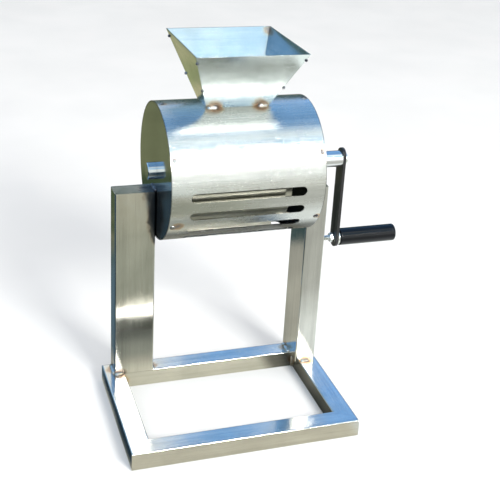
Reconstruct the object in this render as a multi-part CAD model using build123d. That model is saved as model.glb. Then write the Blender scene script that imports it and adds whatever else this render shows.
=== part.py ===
from build123d import *
import os
from math import cos, radians, sin, sqrt

os.makedirs("parts", exist_ok=True)

# Hand-cranked drum crusher on a tube stand. Millimetres. +X runs along the drum towards
# the crank, +Y to the rear, +Z up. The origin is under the middle of the whole outline.

# Base frame of four mitred tubes
base_width = 335.0
base_depth = 230.0
rail_width = 30.0
rail_height = 27.0
tube_wall = 2.0
tube_corner = 2.0

# Uprights: one with its wide side to the front, one turned a quarter round
upright_wide = 60.0
upright_narrow = 32.0
upright_height = 298.0
left_inset = 14.0
right_inset = 5.0
cap_thickness = 2.0

# Drum
drum_radius = 100.0
shell_sheet = 2.0
disc_thickness = 3.0
axle_behind_front = 208.0
axle_above_uprights = 29.0

# Slots in the lower half of the drum
slot_count = 11
slot_step = 17.3
slot_width = 14.0
slot_end_margin = 28.0

# Hopper: a four-sided funnel of thin sheet
rim_width = 160.0
rim_depth = 168.0
foot_width = 93.0
foot_depth = 46.0
hopper_rise = 86.0
hopper_sheet = 1.5
feed_lip = 4.0

# Rotor
shaft_radius = 12.5
stub_length = 12.5
rotor_left_margin = 26.0
rotor_right_margin = 43.0
rotor_gap = 7.0
bar_count = 6
bar_size = 10.0
bar_start_angle = 6.0
bar_end_gap = 14.0
rotor_sheet = 3.0
rotor_plate = 4.0
rotor_plate_inset = 12.0

# Bearings behind the end discs, and the collars that keep the rotor in place
shaft_clearance = 0.5
running_clearance = 0.05
bush_wall = 3.5
housing_wall = 6.0
housing_length = 18.0
collar_radius = 20.0
collar_length = 9.0
end_play = 0.5
set_screw_radius = 3.0

# Crank
crank_gap = 26.0
arm_width = 25.0
arm_thickness = 5.0
arm_top_margin = 17.0
arm_bottom_margin = 14.5
crank_throw = 132.0
hub_bolt_radius = 5.0
hub_bolt_depth = 22.0
hub_bolt_head = 3.0
hub_bolt_head_radius = 8.0
hub_bolt_head_round = 1.2
hub_bolt_socket = 5.0
hub_bolt_socket_depth = 1.8
hub_washer_radius = 10.5
hub_washer_thickness = 2.0
hole_clearance = 0.3

# Grip and the bolt it turns on
grip_radius = 13.5
grip_length = 95.0
grip_end_round = 2.5
grip_play = 0.3
grip_bolt_radius = 4.0
grip_bolt_head = 5.3
grip_bolt_flats = 13.0
grip_bolt_tail = 8.5
grip_running_clearance = 0.08
grip_nut_thickness = 6.5
grip_washer_radius = 11.5
grip_washer_thickness = 3.0
recess_radius = 9.0
recess_depth = 8.0

# Weld beads
frame_bead = 3.0
drum_bead = 3.0
foot_bead = 3.6
hopper_bead = 4.5
tack_radius = 2.2
tack_heights = (0.36, 0.89)
plug_radius = 4.0
plug_height = 1.2
plug_count = 6
plug_start_angle = -28.0
plug_end_margin = 6.0
bar_bead = 2.5

# Positions that follow from the sizes
arm_inner_reach = base_width + crank_gap
grip_start_reach = arm_inner_reach + arm_thickness + grip_washer_thickness + grip_play
overall_width = grip_start_reach + grip_length
overall_depth = max(base_depth, axle_behind_front + max(drum_radius, rim_depth / 2))

base_left = -overall_width / 2
base_right = base_left + base_width
base_front = -overall_depth / 2
base_rear = base_front + base_depth

upright_top = rail_height + upright_height
left_upright_x = base_left + left_inset
right_upright_end = base_right - right_inset
right_upright_x = right_upright_end - upright_narrow
left_upright_y = base_rear - upright_narrow
right_upright_y = base_rear - upright_wide

drum_left = left_upright_x + upright_wide
drum_right = right_upright_x
drum_middle = (drum_left + drum_right) / 2
axle_y = base_front + axle_behind_front
axle_z = upright_top + axle_above_uprights
crest_z = axle_z + drum_radius
rim_z = crest_z + hopper_rise
foot_z = axle_z + sqrt(drum_radius**2 - (foot_depth / 2) ** 2)

rotor_left = drum_left + rotor_left_margin
rotor_right = drum_right - rotor_right_margin
bar_right = rotor_right - bar_end_gap
bar_tip_radius = drum_radius - shell_sheet - rotor_gap
rotor_radius = bar_tip_radius - bar_size
bush_radius = shaft_radius + running_clearance + bush_wall
housing_radius = bush_radius + housing_wall

shaft_left = drum_left - stub_length
arm_left = base_left + arm_inner_reach
arm_right = arm_left + arm_thickness
grip_z = axle_z - crank_throw
grip_left = base_left + grip_start_reach
grip_right = grip_left + grip_length


def save(name, *pieces):
    """Write one sub-part as its own file."""
    shape = pieces[0] if len(pieces) == 1 else Compound(children=list(pieces))
    export_step(shape, "parts/" + name + ".step")


def block(x0, x1, y0, y1, z0, z1):
    """A box between two opposite corners."""
    low = (Align.MIN, Align.MIN, Align.MIN)
    return Pos(x0, y0, z0) * Box(x1 - x0, y1 - y0, z1 - z0, align=low)


def rod(radius, x0, x1, y=axle_y, z=axle_z):
    """A cylinder lying along X."""
    base = (Align.CENTER, Align.CENTER, Align.MIN)
    return Pos(x0, y, z) * Rot(0, 90, 0) * Cylinder(radius, x1 - x0, align=base)


def ring(outer, inner, x0, x1, y=axle_y, z=axle_z):
    """A round tube or washer lying along X."""
    return rod(outer, x0, x1, y, z) - rod(inner, x0, x1, y, z)


def hexagon(flats, x0, x1, y, z):
    """A hexagonal prism along X, sized across its flats."""
    face = Plane(origin=(x0, y, z), x_dir=(0, 1, 0), z_dir=(1, 0, 0))
    outline = face * RegularPolygon(flats / 2, 6, major_radius=False)
    return extrude(outline, amount=x1 - x0)


def tube_section(plane, width, height):
    """The hollow section of a rectangular tube with rounded corners."""
    outside = RectangleRounded(width, height, tube_corner)
    inside = Rectangle(width - 2 * tube_wall, height - 2 * tube_wall)
    return plane * (outside - inside)


def capsule(start, end, radius):
    """A round-ended rod between two points."""
    line = Vector(*end) - Vector(*start)
    core = extrude(Plane(origin=start, z_dir=line) * Circle(radius), amount=line.length)
    return core + Pos(*start) * Sphere(radius) + Pos(*end) * Sphere(radius)


def bead(start, end, radius, *neighbours):
    """A run of weld along a corner, fitted to the surfaces it joins."""
    run = capsule(start, end, radius)
    for solid in neighbours:
        run = run - solid
    return run.solids().sort_by(SortBy.VOLUME)[-1]


def on_drum(angle, radius, x):
    """A point round the drum's axis. Angle 0 faces the front, 90 is straight down."""
    turn = radians(angle)
    return (x, axle_y - radius * cos(turn), axle_z - radius * sin(turn))


def radial_plane(angle, radius, x):
    """A plane facing away from the drum's axis, with its X along the drum."""
    turn = radians(angle)
    outward = (0, -cos(turn), -sin(turn))
    return Plane(origin=on_drum(angle, radius, x), x_dir=(1, 0, 0), z_dir=outward)


# Base frame


def rail_along_x(y0, outline):
    """A mitred rail running left to right, trimmed to its plan outline."""
    centre = (base_left, y0 + rail_width / 2, rail_height / 2)
    end = Plane(origin=centre, x_dir=(0, 1, 0), z_dir=(1, 0, 0))
    rail = extrude(tube_section(end, rail_width, rail_height), amount=base_width)
    return rail & extrude(make_face(Polyline(*outline, close=True)), amount=rail_height)


def rail_along_y(x0, outline):
    """A mitred rail running front to rear, trimmed to its plan outline."""
    centre = (x0 + rail_width / 2, base_front, rail_height / 2)
    end = Plane(origin=centre, x_dir=(1, 0, 0), z_dir=(0, 1, 0))
    rail = extrude(tube_section(end, rail_width, rail_height), amount=base_depth)
    return rail & extrude(make_face(Polyline(*outline, close=True)), amount=rail_height)


def base_rails():
    """The four rails, each cut at forty-five degrees where it meets the next."""
    left, right = base_left, base_right
    front, rear = base_front, base_rear
    inner_left, inner_right = left + rail_width, right - rail_width
    inner_front, inner_rear = front + rail_width, rear - rail_width
    front_plan = [(left, front), (right, front), (inner_right, inner_front), (inner_left, inner_front)]
    rear_plan = [(left, rear), (right, rear), (inner_right, inner_rear), (inner_left, inner_rear)]
    left_plan = [(left, front), (left, rear), (inner_left, inner_rear), (inner_left, inner_front)]
    right_plan = [(right, front), (right, rear), (inner_right, inner_rear), (inner_right, inner_front)]
    save("base_front_rail", rail_along_x(front, front_plan))
    save("base_rear_rail", rail_along_x(inner_rear, rear_plan))
    save("base_left_rail", rail_along_y(left, left_plan))
    save("base_right_rail", rail_along_y(inner_right, right_plan))


def frame_envelope():
    """The base frame taken as solid bars, for fitting the welds."""
    whole = block(base_left, base_right, base_front, base_rear, 0, rail_height)
    hole = block(
        base_left + rail_width,
        base_right - rail_width,
        base_front + rail_width,
        base_rear - rail_width,
        0,
        rail_height,
    )
    return whole - hole


def base_corner_welds():
    """An upright bead in each inner corner of the base frame."""
    frame = frame_envelope()
    low, high = frame_bead, rail_height - 3 * frame_bead
    beads = []
    for x in (base_left + rail_width, base_right - rail_width):
        for y in (base_front + rail_width, base_rear - rail_width):
            beads.append(bead((x, y, low), (x, y, high), frame_bead, frame))
    return beads


# Uprights


def upright(x0, y0, width, depth):
    """An open-ended tube standing on the base frame."""
    centre = (x0 + width / 2, y0 + depth / 2, rail_height)
    section = tube_section(Plane(origin=centre), width, depth)
    return extrude(section, amount=upright_height - cap_thickness)


def upright_cap(x0, y0, width, depth):
    """The plate that closes the top of an upright."""
    centre = (x0 + width / 2, y0 + depth / 2, upright_top - cap_thickness)
    outline = Plane(origin=centre) * RectangleRounded(width, depth, tube_corner)
    return extrude(outline, amount=cap_thickness)


def left_upright_envelope():
    """The left upright taken as a solid bar."""
    x1 = left_upright_x + upright_wide
    return block(left_upright_x, x1, left_upright_y, base_rear, rail_height, upright_top)


def right_upright_envelope():
    """The right upright taken as a solid bar."""
    x0, x1 = right_upright_x, right_upright_end
    return block(x0, x1, right_upright_y, base_rear, rail_height, upright_top)


def foot_welds():
    """Short beads where the uprights stand on the rails."""
    frame = frame_envelope()
    left, right = left_upright_envelope(), right_upright_envelope()
    z = rail_height
    x0, x1 = left_upright_x, left_upright_x + upright_wide
    y0, y1 = left_upright_y + 2 * frame_bead, base_rear - 2 * frame_bead
    side_runs = [(x0, left), (x1, left), (right_upright_x, right)]
    beads = [bead((x, y0, z), (x, y1, z), frame_bead, frame, post) for x, post in side_runs]

    rail_edge = base_left + rail_width
    start, end = x0 + foot_bead, max(x0 + 2 * foot_bead, rail_edge - 2 * foot_bead)
    beads.append(bead((start, left_upright_y, z), (end, left_upright_y, z), foot_bead, frame, left))

    middle = (right_upright_x + right_upright_end) / 2
    start, end = middle - foot_bead, middle + foot_bead
    beads.append(bead((start, right_upright_y, z), (end, right_upright_y, z), foot_bead, frame, right))
    return beads


def drum_to_upright_welds():
    """Beads that hold the drum's end discs to the uprights."""
    drum = rod(drum_radius, drum_left, drum_right)
    left, right = left_upright_envelope(), right_upright_envelope()
    top = upright_top
    run = drum_bead * 2
    low = axle_z - drum_radius * 3 / 4
    y0, y1 = left_upright_y + run, base_rear - run
    y2 = right_upright_y + run
    high = top - run
    return [
        bead((drum_left, y0, top), (drum_left, y1, top), drum_bead, drum, left),
        bead((drum_right, y2, top), (drum_right, y1, top), drum_bead, drum, right),
        bead((drum_left, base_rear, low), (drum_left, base_rear, high), drum_bead, drum, left),
        bead((drum_right, base_rear, low), (drum_right, base_rear, high), drum_bead, drum, right),
    ]


# Drum


def slot_cutters():
    """Long round-ended cutters pointing out of the lower half of the drum."""
    length = drum_right - drum_left - 2 * slot_end_margin
    cutters = []
    for index in range(slot_count):
        angle = 90 + (index - (slot_count - 1) / 2) * slot_step
        outline = radial_plane(angle, 0, drum_middle) * SlotOverall(length, slot_width)
        cutters.append(extrude(outline, amount=drum_radius * 2))
    return cutters


def drum_shell():
    """The rolled sheet of the drum with its slots and the feed hole under the hopper."""
    shell = ring(drum_radius, drum_radius - shell_sheet, drum_left, drum_right)
    for cutter in slot_cutters():
        shell = shell - cutter
    half_width = foot_width / 2 - feed_lip
    half_depth = foot_depth / 2 - feed_lip
    feed = block(
        drum_middle - half_width,
        drum_middle + half_width,
        axle_y - half_depth,
        axle_y + half_depth,
        axle_z,
        crest_z,
    )
    return shell - feed


def end_disc(x0):
    """A flat disc set into the end of the shell, with a hole for the shaft."""
    return ring(drum_radius - shell_sheet, shaft_radius + shaft_clearance, x0, x0 + disc_thickness)


def bearing_housing(x0):
    """A ring fixed to the inner side of an end disc."""
    return ring(housing_radius, bush_radius, x0, x0 + housing_length)


def bearing_bush(x0):
    """The bronze bush in which the shaft turns."""
    return ring(bush_radius, shaft_radius + running_clearance, x0, x0 + housing_length)


def plug_welds():
    """Low buttons of weld round both ends of the shell, over the edges of the discs."""
    drum = rod(drum_radius, drum_left, drum_right)
    buttons = []
    for x in (drum_left + plug_end_margin, drum_right - plug_end_margin):
        for index in range(plug_count):
            angle = plug_start_angle + index * 360 / plug_count
            base = radial_plane(angle, drum_radius - plug_height, x) * Circle(plug_radius)
            button = extrude(base, amount=2 * plug_height)
            rim = button.edges().filter_by(GeomType.CIRCLE)
            outer = max(rim, key=lambda edge: (edge.center() - Vector(x, axle_y, axle_z)).length)
            buttons.append(fillet(outer, plug_height * 3 / 4) - drum)
    return buttons


# Hopper


def funnel_corner(x_side, y_side, z, inset):
    """A corner of the funnel at height z, moved in by the sheet thickness where asked.

    The faces slope, so a sheet of even thickness is wider when it is cut level.
    """
    share = (z - foot_z) / (rim_z - foot_z)
    half_width = foot_width / 2 + share * (rim_width - foot_width) / 2
    half_depth = foot_depth / 2 + share * (rim_depth - foot_depth) / 2
    rise = rim_z - foot_z
    side_run = (rim_width - foot_width) / 2
    front_run = (rim_depth - foot_depth) / 2
    side_cut = inset * sqrt(rise**2 + side_run**2) / rise
    front_cut = inset * sqrt(rise**2 + front_run**2) / rise
    x = drum_middle + x_side * (half_width - side_cut)
    y = axle_y + y_side * (half_depth - front_cut)
    return (x, y, z)


def six_faced(near, far):
    """A solid between two matching four-cornered faces."""
    faces = [make_face(Polyline(*near, close=True)), make_face(Polyline(*far, close=True))]
    for index in range(4):
        after = (index + 1) % 4
        side = [near[index], near[after], far[after], far[index]]
        faces.append(make_face(Polyline(*side, close=True)))
    return Solid(Shell([piece.face() for piece in faces]))


def hopper_panel(side_a, side_b):
    """One sloping sheet between two corners, with mitred edges and a foot cut to the drum."""
    outer = [
        funnel_corner(*side_a, foot_z, 0),
        funnel_corner(*side_b, foot_z, 0),
        funnel_corner(*side_b, rim_z, 0),
        funnel_corner(*side_a, rim_z, 0),
    ]
    inner = [
        funnel_corner(*side_a, foot_z, hopper_sheet),
        funnel_corner(*side_b, foot_z, hopper_sheet),
        funnel_corner(*side_b, rim_z, hopper_sheet),
        funnel_corner(*side_a, rim_z, hopper_sheet),
    ]
    return six_faced(outer, inner) - rod(drum_radius, drum_left, drum_right)


def hopper_panels():
    """The front, rear, left and right sheets of the hopper."""
    sides = {
        "hopper_front_panel": ((-1, -1), (1, -1)),
        "hopper_rear_panel": ((-1, 1), (1, 1)),
        "hopper_left_panel": ((-1, -1), (-1, 1)),
        "hopper_right_panel": ((1, -1), (1, 1)),
    }
    for name, (side_a, side_b) in sides.items():
        save(name, hopper_panel(side_a, side_b))


def hopper_envelope():
    """The whole funnel taken as solid."""
    bottom = Pos(drum_middle, axle_y, foot_z) * Rectangle(foot_width, foot_depth)
    top = Pos(drum_middle, axle_y, rim_z) * Rectangle(rim_width, rim_depth)
    return loft([bottom, top])


def hopper_corner_tacks():
    """Small tacks along the four sloping corners of the hopper."""
    funnel = hopper_envelope()
    tacks = []
    for x_side in (-1, 1):
        for y_side in (-1, 1):
            for share in tack_heights:
                z = foot_z + share * (rim_z - foot_z)
                spot = funnel_corner(x_side, y_side, z, 0)
                tacks.append((Pos(*spot) * Sphere(tack_radius) - funnel).solids()[0])
    return tacks


def hopper_foot_welds():
    """Beads that fix the four corners of the hopper's foot to the drum."""
    drum = rod(drum_radius, drum_left, drum_right)
    funnel = hopper_envelope()
    beads = []
    for x_side in (-1, 1):
        for y_side in (-1, 1):
            x, y, z = funnel_corner(x_side, y_side, foot_z, 0)
            near = (x - x_side * hopper_bead * 2 / 3, y, z)
            far = (x - x_side * hopper_bead * 8 / 3, y, z)
            beads.append(bead(near, far, hopper_bead, drum, funnel))
    return beads


# Rotor


def rotor_shaft():
    """The shaft, with a tapped hole in its crank end."""
    shaft = rod(shaft_radius, shaft_left, arm_left)
    shaft = chamfer(shaft.edges().sort_by(Axis.X)[0], 1.0)
    return shaft - rod(hub_bolt_radius, arm_left - hub_bolt_depth, arm_left)


def rotor_tube():
    """The rotor's round body."""
    return ring(rotor_radius, rotor_radius - rotor_sheet, rotor_left, rotor_right)


def rotor_end_plate(x0):
    """A disc that fixes one end of the rotor's body to the shaft."""
    return ring(rotor_radius - rotor_sheet, shaft_radius, x0, x0 + rotor_plate)


def rotor_bar(index):
    """One of the bars that stand along the rotor and carry the fruit round."""
    angle = bar_start_angle + index * 360 / bar_count
    middle = (rotor_left + bar_right) / 2
    outline = Rectangle(bar_right - rotor_left, bar_size)
    seat = radial_plane(angle, rotor_radius - bar_size, middle) * outline
    bar = extrude(seat, amount=2 * bar_size)
    return bar - rod(rotor_radius, rotor_left, rotor_right)


def bar_welds():
    """Beads along one side of each bar at both of its ends."""
    body = rod(rotor_radius, rotor_left, rotor_right)
    run = bar_size * 3 / 2
    offset = bar_size / 2 + bar_bead / 5
    beads = []
    for index in range(bar_count):
        angle = bar_start_angle + index * 360 / bar_count
        bar = rotor_bar(index)
        turn = radians(angle)
        side = Vector(0, offset * sin(turn), -offset * cos(turn))
        for x, way in ((rotor_left + bar_bead, 1), (bar_right - bar_bead, -1)):
            near = Vector(*on_drum(angle, rotor_radius + bar_bead / 5, x)) + side
            far = near + Vector(way * run, 0, 0)
            beads.append(bead(tuple(near), tuple(far), bar_bead, body, bar))
    return beads


def shaft_collar(x0):
    """A ring on the shaft beside a bearing, with a radial hole for its set screw."""
    collar = ring(collar_radius, shaft_radius, x0, x0 + collar_length)
    hole = radial_plane(0, 0, x0 + collar_length / 2) * Circle(set_screw_radius)
    return collar - extrude(hole, amount=collar_radius * 2)


def set_screw(x0):
    """A socket set screw that holds a collar on the shaft."""
    middle = x0 + collar_length / 2
    length = collar_radius - shaft_radius - 1
    body = extrude(radial_plane(0, shaft_radius, middle) * Circle(set_screw_radius), amount=length)
    socket = radial_plane(0, shaft_radius + length / 2, middle) * RegularPolygon(set_screw_radius / 2, 6)
    clear_of_curve = rod(shaft_radius, x0, x0 + collar_length)
    return body - extrude(socket, amount=length) - clear_of_curve


# Crank


def crank_arm():
    """A flat bar with round ends, hanging straight down from the shaft."""
    length = crank_throw + arm_top_margin + arm_bottom_margin
    middle = (axle_z + arm_top_margin + grip_z - arm_bottom_margin) / 2
    face = Plane(origin=(arm_left, axle_y, middle), x_dir=(0, 0, 1), z_dir=(1, 0, 0))
    arm = extrude(face * SlotOverall(length, arm_width), amount=arm_thickness)
    arm = arm - rod(hub_bolt_radius + hole_clearance, arm_left, arm_right)
    return arm - rod(grip_bolt_radius + hole_clearance, arm_left, arm_right, axle_y, grip_z)


def hub_bolt():
    """The bolt that holds the arm against the end of the shaft."""
    under_head = arm_right + hub_washer_thickness
    tip = arm_left - hub_bolt_depth + 2
    end = under_head + hub_bolt_head
    head = rod(hub_bolt_head_radius, under_head, end)
    head = fillet(head.edges().sort_by(Axis.X)[-1], hub_bolt_head_round)
    head = head - hexagon(hub_bolt_socket, end - hub_bolt_socket_depth, end, axle_y, axle_z)
    return rod(hub_bolt_radius, tip, under_head) + head


def hub_washer():
    """The washer under the head of the hub bolt."""
    inner = hub_bolt_radius + hole_clearance
    return ring(hub_washer_radius, inner, arm_right, arm_right + hub_washer_thickness)


def grip_bolt():
    """The long bolt that the grip turns on, with its head sunk in the grip's end."""
    under_head = grip_right - recess_depth + grip_play
    tip = arm_left - grip_nut_thickness - grip_bolt_tail
    head = hexagon(grip_bolt_flats, under_head, under_head + grip_bolt_head, axle_y, grip_z)
    shank = rod(grip_bolt_radius, tip, under_head, axle_y, grip_z)
    shank = chamfer(shank.edges().sort_by(Axis.X)[0], 0.8)
    return shank + head


def grip_nut():
    """The nut on the inner side of the arm."""
    nut = hexagon(grip_bolt_flats, arm_left - grip_nut_thickness, arm_left, axle_y, grip_z)
    return nut - rod(grip_bolt_radius, arm_left - grip_nut_thickness, arm_left, axle_y, grip_z)


def grip_washer():
    """The washer between the arm and the grip."""
    inner = grip_bolt_radius + hole_clearance
    return ring(grip_washer_radius, inner, arm_right, arm_right + grip_washer_thickness, axle_y, grip_z)


def crank_grip():
    """The turning hand grip, bored for its bolt and recessed for the bolt's head."""
    body = rod(grip_radius, grip_left, grip_right, axle_y, grip_z)
    body = fillet(body.edges().filter_by(GeomType.CIRCLE), grip_end_round)
    bore = grip_bolt_radius + grip_running_clearance
    body = body - rod(bore, grip_left, grip_right, axle_y, grip_z)
    return body - rod(recess_radius, grip_right - recess_depth, grip_right, axle_y, grip_z)


base_rails()
save("base_corner_welds", *base_corner_welds())
save("left_upright", upright(left_upright_x, left_upright_y, upright_wide, upright_narrow))
save("right_upright", upright(right_upright_x, right_upright_y, upright_narrow, upright_wide))
save("left_upright_cap", upright_cap(left_upright_x, left_upright_y, upright_wide, upright_narrow))
save("right_upright_cap", upright_cap(right_upright_x, right_upright_y, upright_narrow, upright_wide))
save("upright_foot_welds", *foot_welds())
save("drum_to_upright_welds", *drum_to_upright_welds())

left_housing_x = drum_left + disc_thickness
right_housing_x = drum_right - disc_thickness - housing_length
save("drum_shell", drum_shell())
save("left_end_disc", end_disc(drum_left))
save("right_end_disc", end_disc(drum_right - disc_thickness))
save("left_bearing_housing", bearing_housing(left_housing_x))
save("right_bearing_housing", bearing_housing(right_housing_x))
save("left_bush", bearing_bush(left_housing_x))
save("right_bush", bearing_bush(right_housing_x))
save("shell_plug_welds", *plug_welds())

hopper_panels()
save("hopper_corner_tacks", *hopper_corner_tacks())
save("hopper_foot_welds", *hopper_foot_welds())

left_collar_x = left_housing_x + housing_length + end_play
right_collar_x = right_housing_x - end_play - collar_length
save("rotor_shaft", rotor_shaft())
save("rotor_tube", rotor_tube())
save("rotor_left_plate", rotor_end_plate(rotor_left + rotor_plate_inset))
save("rotor_right_plate", rotor_end_plate(rotor_right - rotor_plate_inset - rotor_plate))
for number in range(bar_count):
    save("rotor_bar_" + str(number + 1), rotor_bar(number))
save("rotor_bar_welds", *bar_welds())
save("left_shaft_collar", shaft_collar(left_collar_x))
save("right_shaft_collar", shaft_collar(right_collar_x))
save("collar_set_screws", set_screw(left_collar_x), set_screw(right_collar_x))

save("crank_arm", crank_arm())
save("hub_bolt", hub_bolt())
save("hub_washer", hub_washer())
save("grip_bolt", grip_bolt())
save("grip_nut", grip_nut())
save("grip_washer", grip_washer())
save("crank_grip", crank_grip())
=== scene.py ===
import math
import random

import bpy
from mathutils import Matrix, Vector, noise


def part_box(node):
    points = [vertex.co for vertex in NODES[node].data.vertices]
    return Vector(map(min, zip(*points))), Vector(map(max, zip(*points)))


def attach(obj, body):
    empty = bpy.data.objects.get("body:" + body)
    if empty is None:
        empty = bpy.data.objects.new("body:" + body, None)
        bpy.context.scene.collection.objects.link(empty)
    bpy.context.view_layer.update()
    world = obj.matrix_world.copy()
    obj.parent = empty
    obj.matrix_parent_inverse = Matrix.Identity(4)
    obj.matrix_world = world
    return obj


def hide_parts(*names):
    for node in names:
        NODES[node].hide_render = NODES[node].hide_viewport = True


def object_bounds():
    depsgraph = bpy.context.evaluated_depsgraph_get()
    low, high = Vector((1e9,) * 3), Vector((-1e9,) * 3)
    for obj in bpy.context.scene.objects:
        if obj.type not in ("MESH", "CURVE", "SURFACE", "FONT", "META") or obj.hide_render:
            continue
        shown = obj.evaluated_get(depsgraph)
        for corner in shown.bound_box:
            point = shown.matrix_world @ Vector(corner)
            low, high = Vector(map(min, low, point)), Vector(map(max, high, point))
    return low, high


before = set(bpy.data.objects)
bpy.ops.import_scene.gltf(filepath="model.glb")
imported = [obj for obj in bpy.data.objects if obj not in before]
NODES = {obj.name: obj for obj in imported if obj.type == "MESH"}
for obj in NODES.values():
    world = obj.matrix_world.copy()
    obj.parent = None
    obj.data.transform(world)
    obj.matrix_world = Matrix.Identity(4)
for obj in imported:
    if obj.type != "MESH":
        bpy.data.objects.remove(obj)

cad_low, cad_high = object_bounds()
MM = 0.001

# ---------------------------------------------------------------- measures taken from the CAD nodes
shell_low, shell_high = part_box("drum_shell")
DRUM_X0, DRUM_X1 = shell_low.x, shell_high.x
AXLE_Y = (shell_low.y + shell_high.y) / 2
AXLE_Z = (shell_low.z + shell_high.z) / 2
DRUM_R = (shell_high.z - shell_low.z) / 2
post_low, post_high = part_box("left_upright")
POST_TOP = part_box("left_upright_cap")[1].z
right_low, right_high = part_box("right_upright")
front_low, front_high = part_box("base_front_rail")
rear_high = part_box("base_rear_rail")[1]
RAIL = front_high.y - front_low.y
RAIL_TOP = front_high.z
rim_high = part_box("hopper_right_panel")[1]
foot_low, foot_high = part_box("hopper_foot_welds")
nut_low, nut_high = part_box("grip_nut")
bolt_low, bolt_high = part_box("grip_bolt")
grip_low, grip_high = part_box("crank_grip")
GRIP_Z = (grip_low.z + grip_high.z) / 2
arm_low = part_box("crank_arm")[0]
tube_low, tube_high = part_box("rotor_tube")
bar_low, bar_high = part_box("rotor_bar_1")
ROTOR_R = (tube_high.z - tube_low.z) / 2


# ---------------------------------------------------------------- shader node helpers
class Nodes:
    """Adds shader nodes to a tree and joins them."""

    def __init__(self, tree):
        self.tree = tree
        tree.nodes.clear()

    def add(self, kind, **settings):
        node = self.tree.nodes.new(kind)
        for key, value in settings.items():
            setattr(node, key, value)
        return node

    def join(self, source, target):
        self.tree.links.new(source, target)

    def feed(self, socket, value):
        """Joins another node's output to the socket, or gives it a number or a colour."""
        if isinstance(value, bpy.types.NodeSocket):
            self.join(value, socket)
        elif isinstance(value, tuple):
            socket.default_value = (*value, 1.0)
        else:
            socket.default_value = value

    def math(self, operation, a, b=0.0, clamp=False):
        node = self.add("ShaderNodeMath", operation=operation, use_clamp=clamp)
        for socket, value in zip(node.inputs, (a, b)):
            self.feed(socket, value)
        return node.outputs[0]

    def remap(self, value, low, high, to_low=0.0, to_high=1.0, smooth=False):
        node = self.add("ShaderNodeMapRange")
        if smooth:
            node.interpolation_type = "SMOOTHSTEP"
        for socket, number in zip(node.inputs[1:5], (low, high, to_low, to_high)):
            socket.default_value = number
        self.join(value, node.inputs[0])
        return node.outputs[0]

    def step(self, value, low, high):
        """0 below the first place, 1 above the second, smooth between them."""
        return self.remap(value, low, high, smooth=True)

    def fall(self, value, low, high):
        """1 below the first place, 0 above the second, smooth between them."""
        return self.remap(value, low, high, 1.0, 0.0, smooth=True)

    def ramp(self, value, stops):
        node = self.add("ShaderNodeValToRGB")
        points = node.color_ramp.elements
        while len(points) < len(stops):
            points.new(0.5)
        for point, (place, colour) in zip(points, stops):
            point.position = place
            point.color = (*colour, 1.0)
        self.join(value, node.inputs[0])
        return node.outputs[0]

    def mix(self, factor, a, b, blend="MIX"):
        node = self.add("ShaderNodeMix", data_type="RGBA", blend_type=blend)
        for socket, value in ((node.inputs[0], factor), (node.inputs[6], a), (node.inputs[7], b)):
            self.feed(socket, value)
        return node.outputs[2]

    def split(self, vector):
        node = self.add("ShaderNodeSeparateXYZ")
        self.join(vector, node.inputs[0])
        return node.outputs

    def darken(self, colour, share):
        """The colour times a share between 0 and 1."""
        grey = self.add("ShaderNodeCombineColor")
        for socket in grey.inputs:
            self.join(share, socket)
        return self.mix(1.0, colour, grey.outputs[0], blend="MULTIPLY")


class Material(Nodes):
    """One material: procedural textures that feed a Principled shader."""

    def __init__(self, name):
        self.material = bpy.data.materials.new(name)
        self.material.use_nodes = True
        super().__init__(self.material.node_tree)
        output = self.add("ShaderNodeOutputMaterial")
        self.shader = self.add("ShaderNodeBsdfPrincipled")
        self.join(self.shader.outputs[0], output.inputs[0])
        self.coords = self.add("ShaderNodeTexCoord").outputs["Object"]

    def set(self, name, value):
        self.feed(self.shader.inputs[name], value)

    def noise(self, scale, detail=3.0, rough=0.55, stretch=(1, 1, 1), offset=(0, 0, 0), distort=0.0):
        place = self.add("ShaderNodeMapping")
        place.inputs["Scale"].default_value = stretch
        place.inputs["Location"].default_value = offset
        self.join(self.coords, place.inputs[0])
        texture = self.add("ShaderNodeTexNoise")
        texture.inputs["Scale"].default_value = scale
        texture.inputs["Detail"].default_value = detail
        texture.inputs["Roughness"].default_value = rough
        texture.inputs["Distortion"].default_value = distort
        self.join(place.outputs[0], texture.inputs["Vector"])
        return texture.outputs["Fac"]

    def bump(self, height, strength, distance, under=None):
        node = self.add("ShaderNodeBump")
        node.inputs["Strength"].default_value = strength
        node.inputs["Distance"].default_value = distance
        self.join(height, node.inputs["Height"])
        if under is not None:
            self.join(under, node.inputs["Normal"])
        return node.outputs[0]

    def place_on_drum(self):
        """The x and z of a point, and its distance from the drum's axle."""
        x, y, z = self.split(self.coords)
        dy = self.math("SUBTRACT", y, AXLE_Y)
        dz = self.math("SUBTRACT", z, AXLE_Z)
        square = self.math("ADD", self.math("MULTIPLY", dy, dy), self.math("MULTIPLY", dz, dz))
        return x, z, self.math("SQRT", square)

    def nearness(self, spots, wobble=0.9):
        """1 at a weld and 0 at its stated radius and beyond, with a ragged edge."""
        wander = self.noise(120.0, 4.0, 0.65)
        best = None
        for centre, radius in spots:
            apart = self.add("ShaderNodeVectorMath", operation="DISTANCE")
            self.join(self.coords, apart.inputs[0])
            apart.inputs[1].default_value = centre
            near = self.remap(apart.outputs["Value"], 0.0, radius, 1.0, 0.0)
            best = near if best is None else self.math("MAXIMUM", best, near)
        shift = self.math("MULTIPLY", self.math("SUBTRACT", wander, 0.5), wobble)
        edge = self.math("MULTIPLY", best, 6.0, clamp=True)
        return self.math("ADD", best, self.math("MULTIPLY", shift, edge), clamp=True)


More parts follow.
